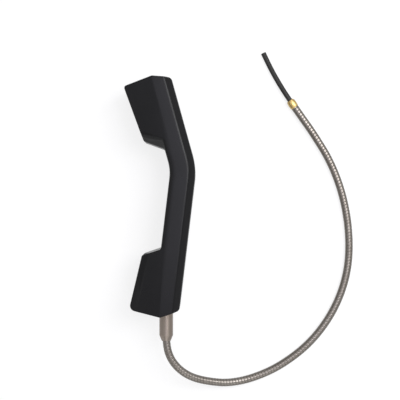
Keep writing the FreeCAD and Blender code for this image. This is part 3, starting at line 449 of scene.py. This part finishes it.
def strip_wound_hose():
    """Geometry nodes that wind a ribbed strip along a curve."""
    tree = bpy.data.node_groups.new("strip_wound_hose", "GeometryNodeTree")
    inputs = {"Radius": HOSE_R, "Pitch": HOSE_PITCH, "Groove": GROOVE_DEPTH}
    tree.interface.new_socket("Line", in_out="INPUT", socket_type="NodeSocketGeometry")
    for label, value in inputs.items():
        tree.interface.new_socket(label, in_out="INPUT", socket_type="NodeSocketFloat").default_value = value
    for label, value in (("Steps", HOSE_STEPS), ("Sides", HOSE_SIDES)):
        tree.interface.new_socket(label, in_out="INPUT", socket_type="NodeSocketInt").default_value = value
    tree.interface.new_socket("Steel", in_out="INPUT", socket_type="NodeSocketMaterial")
    tree.interface.new_socket("Hose", in_out="OUTPUT", socket_type="NodeSocketGeometry")
    given = tree.nodes.new("NodeGroupInput").outputs
    result = tree.nodes.new("NodeGroupOutput").inputs

    # A sheet whose rows are steps along the winding and whose columns go round the hose
    length = node(tree, "GeometryNodeCurveLength", {"Curve": given["Line"]}).outputs["Length"]
    turns = maths(tree, "DIVIDE", length, given["Pitch"])
    rows = maths(tree, "CEIL", maths(tree, "MULTIPLY", maths(tree, "ADD", turns, 2.0), given["Steps"]))
    columns = maths(tree, "ADD", given["Sides"], 1.0)
    grid = node(tree, "GeometryNodeMeshGrid", {"Vertices X": rows, "Vertices Y": columns}).outputs["Mesh"]
    index = node(tree, "GeometryNodeInputIndex").outputs["Index"]
    row = maths(tree, "FLOOR", maths(tree, "DIVIDE", maths(tree, "ADD", index, 0.5), columns))
    column = maths(tree, "SUBTRACT", index, maths(tree, "MULTIPLY", row, columns))
    turn = maths(tree, "DIVIDE", column, given["Sides"])
    wound = maths(tree, "SUBTRACT", maths(tree, "DIVIDE", row, given["Steps"]), 1.0)
    along = maths(tree, "MULTIPLY", maths(tree, "ADD", wound, turn), given["Pitch"])
    along = node(tree, "ShaderNodeClamp", {"Value": along, "Min": 0.0, "Max": length}).outputs["Result"]

    # How deep the groove is at each row
    phase = maths(tree, "FRACT", maths(tree, "ADD", wound, 0.001))
    profile = node(tree, "ShaderNodeFloatCurve", {"Value": phase})
    shape = profile.mapping.curves[0]
    shape.points[0].location = (0.0, 1.0)
    shape.points[1].location = (1.0, 1.0)
    for at in GROOVE_PROFILE:
        shape.points.new(*at)
    profile.mapping.update()
    depth = profile.outputs["Value"]

    # The sheet wrapped round the curve
    sample = node(tree, "GeometryNodeSampleCurve", {"Curves": given["Line"], "Length": along}, mode="LENGTH")
    side = vectors(tree, "CROSS_PRODUCT", sample.outputs["Tangent"], sample.outputs["Normal"])
    angle = maths(tree, "MULTIPLY", turn, 2 * math.pi)
    out = vectors(tree, "ADD", stretched(tree, sample.outputs["Normal"], maths(tree, "COSINE", angle)),
                  stretched(tree, side, maths(tree, "SINE", angle)))
    reach = maths(tree, "SUBTRACT", given["Radius"], maths(tree, "MULTIPLY", depth, given["Groove"]))
    place = vectors(tree, "ADD", sample.outputs["Position"], stretched(tree, out, reach))
    skin = node(tree, "GeometryNodeSetPosition", {"Geometry": grid, "Position": place}).outputs["Geometry"]
    skin = node(tree, "GeometryNodeStoreNamedAttribute", {"Geometry": skin, "Name": "depth", "Value": depth},
                data_type="FLOAT", domain="POINT").outputs["Geometry"]
    skin = node(tree, "GeometryNodeMergeByDistance", {"Geometry": skin, "Distance": HOSE_WELD}).outputs["Geometry"]
    skin = node(tree, "GeometryNodeSetShadeSmooth", {"Geometry": skin}).outputs["Geometry"]
    skin = node(tree, "GeometryNodeRealizeInstances", {"Geometry": skin}).outputs["Geometry"]
    skin = node(tree, "GeometryNodeSetMaterial", {"Geometry": skin, "Material": given["Steel"]}).outputs["Geometry"]
    tree.links.new(skin, result["Hose"])
    return tree


def given_to(modifier, label, value):
    """Set one of a node tree's inputs by its identifier."""
    for item in modifier.node_group.interface.items_tree:
        if item.item_type == "SOCKET" and item.in_out == "INPUT" and item.name == label:
            modifier[item.identifier] = value


def smooth_object(name, mesh, material=None):
    """An object with a smooth-shaded mesh, in its own material or in the one that its mesh brings."""
    made = bpy.data.objects.new(name, mesh)
    scene.collection.objects.link(made)
    mesh.shade_smooth()
    if material:
        mesh.materials.clear()
        mesh.materials.append(material)
    return made


def squared_off(mesh, *ends):
    """The mesh cut square and filled at each end, with its faces outward."""
    work = bmesh.new()
    work.from_mesh(mesh)
    for end, ahead in ends:
        near = {vertex for vertex in work.verts if (vertex.co - end).length < 3 * HOSE_R}
        piece = list(near) + [item for item in (*work.edges, *work.faces) if near.issuperset(item.verts)]
        bmesh.ops.bisect_plane(work, geom=piece, plane_co=end - ahead * END_TRIM, plane_no=ahead,
                               clear_outer=True, dist=KNIFE)
    bmesh.ops.holes_fill(work, edges=[edge for edge in work.edges if edge.is_boundary], sides=0)
    bmesh.ops.recalc_face_normals(work, faces=work.faces)
    work.to_mesh(mesh)
    work.free()
    return mesh


def armoured_hose():
    """The hose as one closed mesh, and the points of its middle line."""
    way = line("hose_line", HOSE_LINE)
    winding = way.modifiers.new("winding", "NODES")
    winding.node_group = strip_wound_hose()
    for label, value in (("Radius", HOSE_R), ("Pitch", HOSE_PITCH), ("Steel", hose_steel())):
        given_to(winding, label, value)
    ends = ((HOSE_LINE[0], (HOSE_LINE[0] - HOSE_LINE[1]).normalized()), (HOSE_END, HOSE_AHEAD))
    wound = smooth_object("wound_hose", squared_off(baked(way), *ends))
    way.modifiers.clear()
    path = [vertex.co.copy() for vertex in baked(way).vertices]
    bpy.data.objects.remove(way)
    return wound, path


TURNED_SIDES = 64
TURNED_WELD = 0.000001      # how near two points of a turned piece are made one


def turned(name, profile, at, ahead, material):
    """A solid of revolution: pairs of place along the axis and radius, in millimetres."""
    work = bmesh.new()
    ring = [work.verts.new((radius / 1000, 0.0, along / 1000)) for along, radius in profile]
    for pair in zip(ring, ring[1:]):
        work.edges.new(pair)
    bmesh.ops.spin(work, geom=work.verts[:] + work.edges[:], axis=(0, 0, 1), cent=(0, 0, 0),
                   steps=TURNED_SIDES, angle=2 * math.pi, use_merge=True)
    bmesh.ops.remove_doubles(work, verts=work.verts, dist=TURNED_WELD)
    bmesh.ops.recalc_face_normals(work, faces=work.faces)
    turn = Vector((0, 0, 1)).rotation_difference(ahead).to_matrix().to_4x4()
    work.transform(Matrix.Translation(at) @ turn)
    mesh = bpy.data.meshes.new(name)
    work.to_mesh(mesh)
    work.free()
    return smooth_object(name, mesh, material)


def crimped_ferrule():
    """A brass barrel drawn in at both ends over the hose."""
    shares = [step / 24 for step in range(25)]
    barrel = [(-6.4 + 8.3 * share, 4.0 - 0.75 * abs(2 * share - 1) ** 3.2) for share in shares]
    profile = [(-6.5, 2.36), (-6.5, 3.15)] + barrel + [(2.0, 3.1), (2.0, 2.5), (1.6, 2.36), (-6.5, 2.36)]
    return turned("ferrule_barrel", profile, HOSE_END, HOSE_AHEAD,
                  turned_brass("ferrule_brass", tuple(HOSE_AHEAD)))


hose, hose_path = armoured_hose()
ferrule = crimped_ferrule()
tail = line("tail_cable", TAIL_LINE, CABLE_R)
tail.data.materials.append(rubber("cable_sheath", srgb(30, 29, 28)))

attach(hose, "handset")
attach(ferrule, "handset")
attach(tail, "handset")
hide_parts("armoured_hose", "cable_in_hose")
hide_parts("hose_ferrule")
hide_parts("cable_tail")


# Wires inside the handset: each one's slot, colour and points in millimetres

WIRE_R = 0.00065
WIRES = {
    "receiver_lead_red": ("wire_red", srgb(176, 30, 28), [
        (-3.6, 92.6, 28.5), (2.0, 94.7, 28.5), (9.4, 77.9, 28.5), (17.4, 45.5, 28.5), (18.8, 26.8, 28.5),
        (14.4, -14.7, 28.5), (10.4, -52.3, 28.5), (6.4, -64.7, 30.6), (0.6, -63.3, 30.6)]),
    "receiver_lead_black": ("wire_black", srgb(26, 26, 27), [
        (-3.6, 92.6, 21.5), (2.0, 94.7, 21.5), (9.4, 77.9, 23.5), (17.4, 45.5, 23.5), (18.8, 26.8, 23.5),
        (14.4, -14.7, 23.5), (10.4, -52.3, 23.5), (6.4, -64.7, 26.9), (0.6, -63.3, 26.9)]),
    "line_core_white": ("wire_white", srgb(214, 212, 204), [
        (5.0, -71.4, 25.8), (5.0, -68.4, 25.8), (3.5, -64.0, 23.1), (0.6, -63.3, 23.1)]),
    "line_core_green": ("wire_green", srgb(36, 128, 62), [
        (5.0, -71.4, 24.2), (5.0, -68.4, 24.2), (3.5, -64.0, 19.4), (0.6, -63.3, 19.4)]),
}

for wire, (slot, colour, points) in WIRES.items():
    lead = line(wire + "_wire", [Vector(point) / 1000 for point in points], WIRE_R)
    lead.data.materials.append(insulation(slot, colour))
    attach(lead, "handset")
    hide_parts(wire)

entry = line("cable_entry", [Vector((5.04, y, 25.0)) / 1000 for y in (-110.87, -97.5, -84.0, -71.4)], CABLE_R)
entry.data.materials.append(bpy.data.materials["cable_sheath"])
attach(entry, "handset")
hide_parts("cable_in_handset")


# Handle: its moulding with the rounded edges that it leaves the mould with

EAR_FACE = Vector((-0.023354, 0.085378, 0.025))
MOUTH_FACE = Vector((-0.021709, -0.064629, 0.025))
RECESSES = ((EAR_FACE, EAR_AXIS, 0.0198), (MOUTH_FACE, MOUTH_AXIS, 0.0189))     # middle, axis, radius
CORNER_ROUNDING = 0.0014    # of its square corners
BLUNT_ROUNDING = 0.0022     # of its blunter corners
SQUARE_TURN = math.radians(60.0)    # from this turn on, a corner counts as square
LEAST_TURN = math.radians(33.0)     # blunter corners than this stay as they are
LEAST_EDGE = 0.00025        # shorter edges stay as they are
CUT_SHARES = (0.25, 0.5, 0.75)      # where the cuts stand between a corner's two faces
CORNER_REACH = 0.004        # how near a corner a cut has to stay
WELD = 0.000002             # how near two points of the moulding are made one
SHARP_TURN = math.radians(30.0)     # from this turn on, an edge is shaded sharp


def in_a_recess(place):
    """True for a place inside one of the round recesses that take the caps."""
    for face, axis, radius in RECESSES:
        across = place - face
        if (across - axis * across.dot(axis)).length < radius:
            return True
    return False


def off_the_edge(place, start, end):
    """How far a place is from an edge."""
    along = end - start
    share = max(0.0, min(1.0, (place - start).dot(along) / along.length_squared))
    return (start + along * share - place).length


def corner_cuts(work):
    """Planes that together round each outer corner, three to an edge, where they take off nothing else."""
    places = [vertex.co.copy() for vertex in work.verts]
    cuts = []
    for edge in work.edges:
        if not edge.is_convex or edge.calc_length() < LEAST_EDGE:
            continue
        first, second = (face.normal.copy() for face in edge.link_faces)
        start, end = (vertex.co.copy() for vertex in edge.verts)
        turn = first.angle(second)
        if turn < LEAST_TURN or in_a_recess((start + end) / 2):
            continue
        radius = CORNER_ROUNDING if turn > SQUARE_TURN else BLUNT_ROUNDING
        axis = start - (first + second) * (radius / (1 + first.dot(second)))
        for share in CUT_SHARES:
            out = (first * math.sin((1 - share) * turn) + second * math.sin(share * turn)).normalized()
            at = axis + out * radius
            lost = [place for place in places if (place - at).dot(out) > KNIFE]
            if all(off_the_edge(place, start, end) < CORNER_REACH for place in lost):
                cuts.append((at, out))
    return cuts


def cut_off(work, at, out):
    """Take off what lies beyond a plane and close the cut."""
    if all((vertex.co - at).dot(out) < 10 * KNIFE for vertex in work.verts):
        return
    cut = bmesh.ops.bisect_plane(work, geom=work.verts[:] + work.edges[:] + work.faces[:], plane_co=at,
                                 plane_no=out, clear_outer=True, dist=KNIFE)
    rim = [item for item in cut["geom_cut"] if isinstance(item, bmesh.types.BMEdge) and item.is_boundary]
    bmesh.ops.holes_fill(work, edges=rim, sides=0)


def rounded_handle():
    """The handle's solid with its outer corners rounded."""
    work = bmesh.new()
    work.from_mesh(parts["handle_body"].data)
    bmesh.ops.remove_doubles(work, verts=work.verts, dist=WELD)
    for at, out in corner_cuts(work):
        cut_off(work, at, out)
    mesh = bpy.data.meshes.new("handle_moulding")
    work.to_mesh(mesh)
    work.free()
    made = smooth_object("handle_moulding", mesh, handset_moulding())
    mesh.set_sharp_from_angle(angle=SHARP_TURN)
    even = made.modifiers.new("even_shading", "WEIGHTED_NORMAL")
    even.keep_sharp = True
    made.data = baked(made)
    made.modifiers.clear()
    return made


handle = rounded_handle()
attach(handle, "handset")
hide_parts("handle_body")


# Finishes of the parts that keep their own shape

def finish(material, *names):
    """Give parts that keep their own shape their finish."""
    for name in names:
        mesh = parts[name].data
        mesh.materials.clear()
        mesh.materials.append(material)


SLEEVE_AXIS = (0.0, 1.0, 0.0)
GUARD_STEEL = srgb(190, 188, 184)
finish(cap_moulding(), "ear_cap", "mouth_cap")
finish(rubber("seal_rubber", srgb(26, 26, 26)), "ear_cap_seal", "mouth_cap_seal", "receiver_front_gasket",
       "receiver_rear_gasket", "mic_gasket", "mic_boot", "sleeve_seal")
finish(turned_steel("sleeve_steel", srgb(134, 125, 118), SLEEVE_AXIS), "cord_sleeve", "sleeve_nut", "sleeve_washer")
finish(turned_steel("ear_guard_steel", GUARD_STEEL, tuple(EAR_AXIS)), "ear_guard_plate", "ear_guard_ring")
finish(turned_steel("mouth_guard_steel", GUARD_STEEL, tuple(MOUTH_AXIS)), "mouth_guard_plate", "mouth_guard_ring")
finish(small_plastic("capsule_plastic", srgb(28, 28, 30), 0.3), "receiver_case", "receiver_grille",
       "receiver_basket", "mic_holder")
finish(diaphragm_film(), "receiver_surround", "receiver_dome")
finish(copper_winding(), "receiver_voice_coil")
finish(plated("zinc_plated_iron", srgb(178, 178, 176), 0.35), "receiver_pole_piece", "receiver_yoke")
finish(plated("nickel_plated_magnet", srgb(158, 158, 160), 0.25), "receiver_magnet", "hook_magnet")
finish(board_laminate(), "receiver_terminal_board", "circuit_board")
finish(plated("tinned_brass", srgb(200, 196, 184), 0.28), "receiver_terminals", "mic_pins")
finish(felt(), "mic_felt")
finish(plated("drawn_can", srgb(202, 202, 202), 0.3), "mic_capsule")
finish(plated("screw_steel", GUARD_STEEL, 0.3), "board_screws")
finish(small_plastic("component_black", srgb(30, 30, 31), 0.45), "board_inductor", "board_resistors",
       "board_zener_diodes")
finish(small_plastic("capacitor_sleeve", srgb(60, 68, 108), 0.35), "board_capacitor")
finish(small_plastic("terminal_green", srgb(52, 142, 84), 0.4), "board_terminal_block")
finish(small_plastic("tie_nylon", srgb(206, 202, 190), 0.4), "cable_tie")


# Table, lamps and surroundings

TABLE_REACH = 3.0           # from its middle to its edges
TABLE_GLOW = 0.8            # what the camera and mirrors see of the white table on top of its own shading
ROOM_GLOW = 0.85            # what they see of the white surroundings
ROOM_LIGHT = (0.1, 0.1, 0.102, 1.0)     # what the surroundings give as light


def seen_or_mirrored(tree):
    """1 for what the camera sees straight on, mirrored or through glass, else 0."""
    path = node(tree, "ShaderNodeLightPath").outputs
    mirrored = maths(tree, "MAXIMUM", path["Is Glossy Ray"], path["Is Transmission Ray"])
    return maths(tree, "MAXIMUM", path["Is Camera Ray"], mirrored)


def white_table():
    """Matt and pale, with enough glow for the camera to see it white, shadow and all."""
    material, tree, shader = blank("white_table", Roughness=0.9, **{
        "Base Color": (0.25, 0.25, 0.25, 1.0), "Specular IOR Level": 0.1})
    glow = node(tree, "ShaderNodeEmission", {
        "Strength": maths(tree, "MULTIPLY", seen_or_mirrored(tree), TABLE_GLOW)})
    both = node(tree, "ShaderNodeAddShader", {0: shader.outputs["BSDF"], 1: glow.outputs["Emission"]})
    out = next(item for item in tree.nodes if item.type == "OUTPUT_MATERIAL")
    tree.links.new(both.outputs["Shader"], out.inputs["Surface"])
    return material


def table():
    """The flat white top that the handset lies on."""
    mesh = bpy.data.meshes.new("table")
    corners = [(TABLE_REACH * x, TABLE_REACH * y, 0.0) for x, y in ((-1, -1), (1, -1), (1, 1), (-1, 1))]
    mesh.from_pydata(corners, [], [(0, 1, 2, 3)])
    made = bpy.data.objects.new("table", mesh)
    mesh.materials.append(white_table())
    scene.collection.objects.link(made)


def softbox(name, at, aim, width, height, brightness, tint=(1.0, 1.0, 1.0)):
    """A lamp panel whose lit face has the given brightness, where 1 is white."""
    light = bpy.data.lights.new(name, "AREA")
    light.shape = "RECTANGLE"
    light.size = width
    light.size_y = height
    light.energy = brightness * math.pi * width * height
    light.color = tint
    made = bpy.data.objects.new(name, light)
    made.location = at
    made.rotation_euler = (Vector(aim) - Vector(at)).to_track_quat("-Z", "Y").to_euler()
    scene.collection.objects.link(made)


def surroundings():
    """A white room that gives little light itself."""
    world = bpy.data.worlds.new("surroundings")
    world.use_nodes = True
    tree = world.node_tree
    tree.nodes.clear()
    light = node(tree, "ShaderNodeBackground", {"Color": ROOM_LIGHT, "Strength": 1.0})
    seen = node(tree, "ShaderNodeBackground", {"Color": (1.0, 1.0, 1.0, 1.0), "Strength": ROOM_GLOW})
    pick = node(tree, "ShaderNodeMixShader", {
        0: seen_or_mirrored(tree), 1: light.outputs["Background"], 2: seen.outputs["Background"]})
    node(tree, "ShaderNodeOutputWorld", {"Surface": pick.outputs["Shader"]})
    scene.world = world


table()
surroundings()
softbox("key_softbox", (0.62, 0.31, 1.05), (0.02, 0.02, 0.0), 0.55, 0.9, 6.5)
softbox("overhead_softbox", (0.15, 0.2, 1.4), (0.15, 0.2, 0.0), 0.9, 0.9, 1.6, (0.97, 0.95, 1.12))
softbox("side_softbox", (-0.66, 0.02, 1.0), (0.0, 0.02, 0.0), 0.42, 0.2, 1.1)
softbox("low_softbox", (-1.0, -0.8, 0.28), (0.0, 0.05, 0.02), 0.5, 0.16, 2.0)
softbox("far_softbox", (0.1, 1.2, 1.1), (0.0, 0.0, 0.0), 1.2, 0.9, 1.3)
softbox("near_softbox", (0.3, -1.2, 1.1), (0.0, 0.0, 0.0), 1.2, 0.9, 1.3)
scene.view_settings.view_transform = "Standard"
